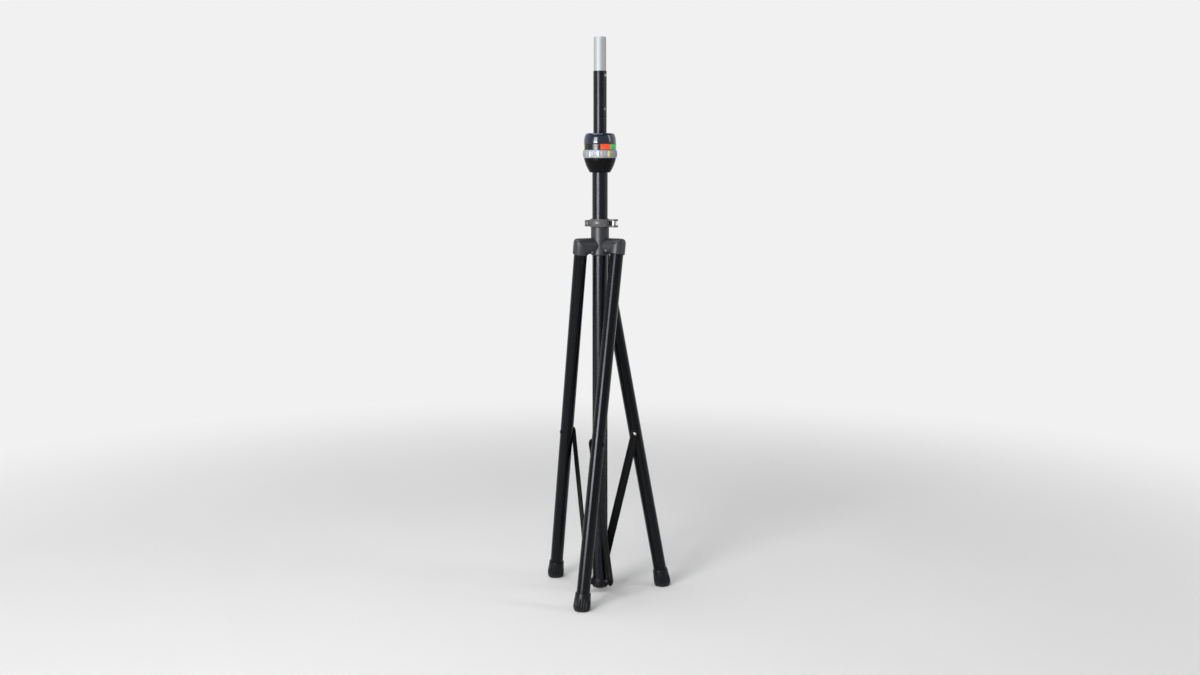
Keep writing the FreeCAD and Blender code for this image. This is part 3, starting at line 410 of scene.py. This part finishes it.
def lock_cap():
    """Gloss cap with a shallow seat for the label, a domed side and a round shoulder."""
    sleeve_bore = 33.05
    wiper_bore = 24.05
    wiper_foot = 1330
    wiper_top = 1336
    label_seat = 45.4
    dome_foot = 1318
    dome_curve = 51
    crown = 40
    top = 1342
    cap = turned([
        (sleeve_bore, CAP_FOOT), (LOCK_REACH, CAP_FOOT), (LOCK_REACH, LABEL_FOOT),
        (label_seat, LABEL_FOOT), (label_seat, LABEL_TOP), (LOCK_REACH, LABEL_TOP),
        *arc((LOCK_REACH, dome_foot), (crown, top), dome_curve, steps=4),
        (MAST_HOLE, top), (MAST_HOLE, wiper_top), (wiper_bore, wiper_top),
        (wiper_bore, wiper_foot), (sleeve_bore, wiper_foot),
    ], steps=LOCK_STEPS)
    round_edge(cap, crown, top, size=4.5, segments=6)
    round_edge(cap, MAST_HOLE, top, size=0.8)
    round_edge(cap, LOCK_REACH, CAP_FOOT, size=0.3, segments=2)
    round_edge(cap, LOCK_REACH, LABEL_TOP, size=0.2, segments=2)
    to_piece("lock_cap_shell", cap, [CAP_PLASTIC], "pole", "cap_plastic", "lock_cap", crease=50)


def lock_label():
    """Black film round the cap, with three bare blocks of colour."""
    inside = 45.45
    outside = 46.02
    fit = 0.05
    foot = LABEL_FOOT + fit
    top = LABEL_TOP - fit
    label = turned([(inside, foot), (outside, foot), (outside, top), (inside, top)], steps=144)
    # each block runs from its first to its last direction
    blocks = ((LABEL_ORANGE, -85, -47.5), (LABEL_GREEN, -47.5, -5), (LABEL_YELLOW, -205, -160))
    for face in label.faces:
        centre = face.calc_center_median()
        turn = math.degrees(math.atan2(centre.y, centre.x))
        for index, (film, first, last) in enumerate(blocks, 1):
            if first < turn < last or first < turn - 360 < last:
                face.material_index = index
    films = [LABEL_BLACK, *(film for film, first, last in blocks)]
    to_piece("lock_label", label, films, "pole", "label", "label_band")


def twist_grip():
    """Ribbed twist ring, with a yellow index bar and two white ticks on smooth spots."""
    index_spot = -56
    right_spot = -93.6
    left_spot = -122.9
    smooth_spots = (index_spot, right_spot, left_spot)
    fit = 0.1
    foot = RING_FOOT + fit
    top = CAP_FOOT - fit
    middle = (foot + top) / 2
    half = (top - foot) / 2
    bore = 33.3
    edge = 46.7
    # the outside swells towards its middle along an arc, and the ribs end short of both edges
    curve = 29
    rib_end = 7.5
    plain_end = 9.3
    edge_drop = math.sqrt(curve ** 2 - half ** 2)
    rises = (-half, -plain_end, -rib_end, -4, 0, 4, rib_end, plain_end, half)
    swell = [(edge + math.sqrt(curve ** 2 - rise ** 2) - edge_drop, middle + rise) for rise in rises]
    ribs = 72
    rib_depth = 0.75
    rib_roundness = 0.6
    spot_half = 4.5
    spot_fade = 2
    ring = turned([(bore, foot), *swell, (bore, top)], steps=ribs * 6)
    for vert in ring.verts:
        reach = vert.co.xy.length
        rise = abs(vert.co.z / MM - middle)
        # the bore and the plain edges stay round
        if reach < (bore + edge) / 2 * MM or rise > (rib_end + plain_end) / 2:
            continue
        turn = math.degrees(math.atan2(vert.co.y, vert.co.x))
        gap = min(abs((turn - spot + 180) % 360 - 180) for spot in smooth_spots)
        depth = rib_depth * clamped((gap - spot_half) / spot_fade) * groove(vert, ribs) ** rib_roundness
        vert.co.xy *= 1 - depth * MM / reach
    round_edge(ring, edge, foot, size=0.5, segments=2)
    round_edge(ring, edge, top, size=0.5, segments=2)
    to_piece("twist_ring_grip", ring, [RING_PLASTIC], "twist_ring", "ring_plastic", "twist_ring", crease=55)

    root = 46
    proud = 0.3
    # the marks are as tall as the ribs, so they leave out the two corners at each end of the swell
    face = [(reach + proud, height) for reach, height in swell[2:-2]]
    for name, spot, width, material, slot, nodes in (
        ("ring_index_bar", index_spot, 6.5, LABEL_YELLOW, "marker_yellow", ["ring_marker"]),
        ("ring_tick_right", right_spot, 3.6, TICK_WHITE, "ring_plastic", []),
        ("ring_tick_left", left_spot, 3.6, TICK_WHITE, "ring_plastic", []),
    ):
        bar = arc_bar([*face, (root, middle + rib_end), (root, middle - rib_end)], spot, width)
        to_piece(name, bar, [material], "twist_ring", slot, *nodes)


def lock_cup():
    """Satin cup that flares up from the pole, with the sleeve that carries ring and cap."""
    foot = 1231
    foot_reach = 29
    flare_curve = 120
    pole_bore = 22.3
    pole_stop = 1258.1
    floor = 1264
    sleeve_bore = 29
    sleeve_reach = 33
    sleeve_top = 1317.9
    cup = turned([
        (pole_bore, foot), *arc((foot_reach, foot), (LOCK_REACH, RING_FOOT), flare_curve, steps=4),
        (sleeve_reach, RING_FOOT), (sleeve_reach, sleeve_top), (sleeve_bore, sleeve_top),
        (sleeve_bore, floor), (MAST_HOLE, floor), (MAST_HOLE, pole_stop), (pole_bore, pole_stop),
    ], steps=LOCK_STEPS)
    round_edge(cup, foot_reach, foot, size=2.2)
    round_edge(cup, LOCK_REACH, RING_FOOT, size=0.5, segments=2)
    to_piece("lock_cup_shell", cup, [CUP_PLASTIC], "pole", "black_plastic", "lock_cup", crease=50)


def height_lock():
    """Gloss cap, printed label, ribbed twist ring and satin cup."""
    lock_cap()
    lock_label()
    twist_grip()
    lock_cup()


def square_shoulder(letter):
    """A ball in the bend of an elbow, squared in the quarter that faces up and out, as on a mitred bend."""
    reach = 22.9 * MM
    squareness = 5
    # the side towards the hub stays short of the stub's end
    stub_side = 0.8
    ball = bmesh.new()
    bmesh.ops.create_uvsphere(ball, u_segments=64, v_segments=48, radius=reach)
    for vert in ball.verts:
        out, side, up = vert.co
        if out < 0:
            vert.co.x *= stub_side
        elif up > 0:
            corner = (out ** squareness + up ** squareness) ** (1 / squareness)
            vert.co *= reach / math.hypot(corner, side)
    bmesh.ops.transform(ball, matrix=leg_frame(letter), verts=ball.verts)
    return ball


def elbow_casting(letter):
    """An elbow with its square shoulder, melted into one casting."""
    blank = copy_of(f"elbow_{letter}")
    shoulder = square_shoulder(letter)
    mesh = bpy.data.meshes.new("elbow_shoulder")
    shoulder.to_mesh(mesh)
    shoulder.free()
    blank.from_mesh(mesh)
    bpy.data.meshes.remove(mesh)
    return cast(blank, voxel=0.7, passes=8)


def clamp_strap():
    """The clamp band, with the crowned outside of a cast strap."""
    low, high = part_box("clamp_band")
    middle = (low.z + high.z) / 2
    # the outside lies between these reaches: the ears reach further out, and the bore lies further in
    outside_from = 27
    outside_to = 29.2
    crown = 0.5
    edge_fall = 2.6
    roundness = 2.2
    strap = cast(copy_of("clamp_band"), voxel=0.5, passes=5)
    for vert in strap.verts:
        reach = vert.co.xy.length
        if outside_from * MM < reach < outside_to * MM:
            share = abs(vert.co.z - middle) / (high.z - middle)
            vert.co.xy *= 1 + (crown - edge_fall * share ** roundness) * MM / reach
    return strap


def hub_casting():
    """The hub, with stub arms that are slimmer than the elbows' bores, so that nothing rubs."""
    arms_from = 25.8
    slimmed = 0.965
    hub = cast(copy_of("hub"), voxel=0.7, passes=4)
    for turn in map(math.radians, ARM_TURNS.values()):
        along = Vector((math.cos(turn), math.sin(turn), 0))
        for vert in hub.verts:
            out = vert.co.dot(along)
            if out > arms_from * MM:
                axis = along * out + UP * HINGE_HEIGHT * MM
                vert.co = axis.lerp(vert.co, slimmed)
    return hub


def castings():
    """Hub, elbows and clamp, with the round corners of cast pieces, and the nut of the clamp."""
    to_piece("hub_casting", hub_casting(), [CAST_COAT], "hub", "cast_grey", "hub", crease=60)
    for letter in ARM_TURNS:
        elbow = elbow_casting(letter)
        to_piece(f"elbow_casting_{letter}", elbow, [CAST_COAT], f"leg_{letter}", "cast_grey",
                 f"elbow_{letter}", crease=60)
    lever = cast(copy_of("clamp_lever"), voxel=0.5, passes=6)
    to_piece("clamp_lever_casting", lever, [LEVER_COAT], "clamp_lever", "cast_dark", "clamp_lever",
             crease=60)
    to_piece("clamp_band_strap", clamp_strap(), [LEVER_COAT], "hub", "cast_dark", "clamp_band", crease=60)
    nut = softened("clamp_nut", size=0.5)
    to_piece("clamp_nut_hex", nut, [ZINC], "hub", "steel", "clamp_nut")


def boot(letter):
    """A ribbed rubber boot on the end of a leg, flat where it stands on the floor."""
    # the boot is turned longer than the leg's way to the floor, and the floor then cuts it flat
    spare = 3.2
    sole = -(HINGE_HEIGHT / math.cos(math.radians(LEG_ANGLE)) + spare)
    tube_bore = 19.1
    tube_end = 11.15
    top = 54
    section = [
        (0, 0), (16.5, 0), (19.5, 1.2), (22, 4.5), (23.6, 9), (24.6, 14), (24.75, 17), (24.4, 24),
        (23.6, 33), (23.2, 37), (22.9, 39), (22.5, 45), (22.2, 50), (22, 53), (21.4, top),
        (tube_bore, top), (tube_bore, tube_end), (0, tube_end),
    ]
    ribs = 18
    rib_top = 38
    rib_depth = 2.6
    rib_roundness = 1.5
    fade_above = 5
    fade_below = 6
    # the seat of the tube and the sole lie closer in, and stay round
    skin_from = 19.3
    shape = turned(section, steps=ribs * 10)
    for vert in shape.verts:
        height = vert.co.z / MM
        reach = vert.co.xy.length
        if reach < skin_from * MM or height > rib_top:
            continue
        fade = clamped((rib_top - height) / fade_above) * clamped(height / fade_below)
        depth = rib_depth * fade * groove(vert, ribs) ** rib_roundness
        vert.co.xy *= 1 - depth * MM / reach
    place = leg_frame(letter) @ Matrix.Translation((0, 0, sole * MM))
    bmesh.ops.transform(shape, matrix=place, verts=shape.verts)
    everything = [*shape.verts, *shape.edges, *shape.faces]
    sliced = bmesh.ops.bisect_plane(shape, geom=everything, plane_co=ORIGIN, plane_no=UP, clear_inner=True)
    rim = [item for item in sliced["geom_cut"] if isinstance(item, bmesh.types.BMEdge)]
    bmesh.ops.edgenet_fill(shape, edges=rim)
    bmesh.ops.recalc_face_normals(shape, faces=shape.faces)
    to_piece(f"boot_{letter}", shape, [RUBBER], f"leg_{letter}", "rubber", f"foot_{letter}", crease=50)


def rivet_tip(letter):
    """The bare end of a brace's rivet, a thin dome on the crown of its painted head."""
    reach = 4.4
    crown = 8.54
    proud = 0.2
    sink = 0.4
    rings = 6
    steps = [reach * step / rings for step in range(rings + 1)]
    dome = [(step, math.sqrt((crown + proud) ** 2 - step ** 2) - crown) for step in steps]
    shape = turned([*dome, (reach, dome[-1][1] - sink), (0, -sink)], steps=32)

    to_leg = leg_frame(letter)
    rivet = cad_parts[f"brace_rivet_{letter}"].data
    corners = [to_leg.inverted() @ vert.co for vert in rivet.vertices]
    head = min(corner.x for corner in corners)
    drop = sum(corner.z for corner in corners) / len(corners)
    place = to_leg @ Matrix.Translation((head, 0, drop)) @ Matrix.Rotation(-math.pi / 2, 4, "Y")
    bmesh.ops.transform(shape, matrix=place, verts=shape.verts)
    to_piece(f"rivet_tip_{letter}", shape, [ZINC], f"leg_{letter}", "steel")


def legs():
    """Boots, the bright ends of the rivets, brace bars, and the plug under the pole."""
    for letter in ARM_TURNS:
        boot(letter)
        rivet_tip(letter)
        bar = softened(f"brace_{letter}", size=0.7, segments=3)
        to_piece(f"brace_strip_{letter}", bar, [BRACE_ENAMEL], f"brace_{letter}", "black_bar",
                 f"brace_{letter}")
    plug = softened("bottom_plug", size=0.5)
    to_piece("pole_plug", plug, [BLACK_NYLON], "pole", "black_plastic", "bottom_plug")


def dress_solids():
    """Finishes for the solids that show as they are."""
    finishes = {
        "pole_tube": POWDER_COAT,
        "mast_tube": POWDER_COAT,
        "adapter_tube": BARE_TUBE,
        "mast_guide": NYLON,
        "snap_button_right": ZINC,
        "snap_button_left": ZINC,
        "button_spring": ZINC,
        "wiper_ring": BLACK_NYLON,
        "lock_collet": NYLON,
        "wedge_sleeve": NYLON,
        "clamp_bolt": ZINC,
        "clamp_pin": ZINC,
        "lower_pivots": BRACE_ENAMEL,
    }
    for letter in ARM_TURNS:
        # the legs take the darker copy of the pole's coat, painted shade
        finishes[f"leg_tube_{letter}"] = LEG_COAT_PAINTED_SHADE
        finishes[f"elbow_pin_{letter}"] = ZINC
        finishes[f"brace_rivet_{letter}"] = BRACE_ENAMEL
        finishes[f"brace_washer_{letter}"] = BLACK_NYLON
    for node, material in finishes.items():
        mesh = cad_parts[node].data
        mesh.materials.clear()
        mesh.materials.append(material)


def seen_directly(material):
    """1 for rays from the camera, and for those that show in metal or glass, and 0 for the rest."""
    path = add(material, "ShaderNodeLightPath").outputs
    mirror = add(material, "ShaderNodeMath", {0: path["Is Glossy Ray"], 1: path["Is Transmission Ray"]},
                 operation="MAXIMUM")
    return add(material, "ShaderNodeMath", {0: path["Is Camera Ray"], 1: mirror.outputs["Value"]},
               operation="MAXIMUM").outputs["Value"]


def backdrop_paper():
    """Pale paper that takes the stand's shadow, and further out fades into a glowing backdrop with painted
    shade on the side of the lamps.
    """
    material, place = start("backdrop_paper")
    mottle = add(material, "ShaderNodeTexNoise", {"Vector": place, "Scale": per_mm(700), "Detail": 2.0})
    tone = add(material, "ShaderNodeMix", {
        MIX_SHARE: mottle.outputs["Fac"], MIX_FROM: linear("#e2e2e1"), MIX_TO: linear("#e6e6e5"),
    }, data_type="RGBA")
    paper = add(material, "ShaderNodeBsdfDiffuse", {"Color": tone.outputs[MIX_RESULT]})
    # painted shade in the glow: the backdrop is whiter behind the stand than on the side of the lamps
    depth = add(material, "ShaderNodeSeparateXYZ", {"Vector": place}).outputs["Y"]
    behind = add(material, "ShaderNodeMapRange", {"Value": depth, "From Min": -4.0, "From Max": 1.0},
                 interpolation_type="SMOOTHSTEP")
    glow = add(material, "ShaderNodeMix", {
        MIX_SHARE: behind.outputs["Result"], MIX_FROM: linear("#b4b5b6"), MIX_TO: linear("#f1f1f1"),
    }, data_type="RGBA")
    # the glow with its painted shade shows to the camera and in metal, glass and gloss
    even = add(material, "ShaderNodeEmission", {"Color": glow.outputs[MIX_RESULT]})
    out = add(material, "ShaderNodeVectorMath", {0: place}, operation="LENGTH").outputs["Value"]
    fade = add(material, "ShaderNodeMapRange", {"Value": out, "From Min": 1.0, "From Max": 3.4},
               interpolation_type="SMOOTHSTEP")
    share = add(material, "ShaderNodeMath", {0: fade.outputs["Result"], 1: seen_directly(material)},
                operation="MULTIPLY")
    sheet = add(material, "ShaderNodeMixShader", {
        0: share.outputs["Value"], 1: paper.outputs["BSDF"], 2: even.outputs["Emission"],
    })
    add(material, "ShaderNodeOutputMaterial", {"Surface": sheet.outputs["Shader"]})
    return material


def sweep():
    """A round floor that curves up into a wall all round the stand."""
    bend = 2.0
    wall = 8.0
    top = 7.0
    bend_steps = 8
    profile = [(0, 0)]
    for step in range(bend_steps + 1):
        turn = math.radians(90 * step / bend_steps)
        profile.append((wall - bend + bend * math.sin(turn), bend - bend * math.cos(turn)))
    profile.append((wall, top))
    sheet = bmesh.new()
    line = [sheet.verts.new((out, 0, up)) for out, up in profile]
    edges = [sheet.edges.new(pair) for pair in zip(line, line[1:])]
    bmesh.ops.spin(sheet, geom=line + edges, cent=ORIGIN, axis=UP, angle=math.tau, steps=96, use_merge=True)
    bmesh.ops.remove_doubles(sheet, verts=sheet.verts, dist=0.001)
    mesh = bpy.data.meshes.new("studio_sweep")
    sheet.to_mesh(mesh)
    sheet.free()
    mesh.shade_smooth()
    mesh.materials.append(backdrop_paper())
    floor = bpy.data.objects.new("studio_sweep", mesh)
    bpy.context.scene.collection.objects.link(floor)


def lamps():
    """Soft light from the front left, low and high, with a weak fill and a top light."""
    target = Vector((0, 0, 0.85))
    # directions in degrees, distances and sizes in metres, power in watts
    for name, turn, rise, far, wide, tall, power in (
        ("key", CAMERA_SIDE - 32, 16, 6.0, 2.4, 3.0, 230),
        ("low", CAMERA_SIDE - 32, 1, 6.0, 3.0, 1.2, 210),
        ("fill", CAMERA_SIDE + 75, 25, 4.2, 0.8, 2.4, 22),
        ("top", CAMERA_SIDE - 90, 78, 3.4, 2.5, 2.5, 75),
    ):
        lamp = bpy.data.lights.new(name, "AREA")
        lamp.shape = "RECTANGLE"
        lamp.size = wide
        lamp.size_y = tall
        lamp.energy = power
        item = bpy.data.objects.new(name, lamp)
        bpy.context.scene.collection.objects.link(item)
        heading = math.radians(turn)
        lift = math.radians(rise)
        level = math.cos(lift)
        out = Vector((math.cos(heading) * level, math.sin(heading) * level, math.sin(lift)))
        item.location = target + out * far
        item.rotation_mode = "QUATERNION"
        item.rotation_quaternion = out.to_track_quat("Z", "Y")


def place_camera():
    """A camera before the stand, level with its height lock, that looks slightly down."""
    distance = 3.968
    height = 1.272
    heading = math.radians(CAMERA_SIDE)
    pitch = math.radians(7.41)
    level = math.cos(pitch)
    lens = bpy.data.cameras.new("camera")
    lens.sensor_width = 36
    lens.lens = 41.4
    camera = bpy.data.objects.new("camera", lens)
    bpy.context.scene.collection.objects.link(camera)
    camera.location = (distance * math.cos(heading), distance * math.sin(heading), height)
    look = Vector((-math.cos(heading) * level, -math.sin(heading) * level, -math.sin(pitch)))
    camera.rotation_mode = "QUATERNION"
    camera.rotation_quaternion = look.to_track_quat("-Z", "Y")
    bpy.context.scene.camera = camera


def studio():
    """Backdrop, pale surroundings, lamps and camera."""
    sweep()
    world = bpy.data.worlds.new("studio")
    world.use_nodes = True
    bpy.context.scene.world = world
    shade = world.node_tree.nodes["Background"]
    shade.inputs["Color"].default_value = linear("#e9edf3")
    shade.inputs["Strength"].default_value = 0.2
    lamps()
    place_camera()
    bpy.context.scene.view_settings.view_transform = "Standard"


height_lock()
castings()
legs()
dress_solids()
studio()
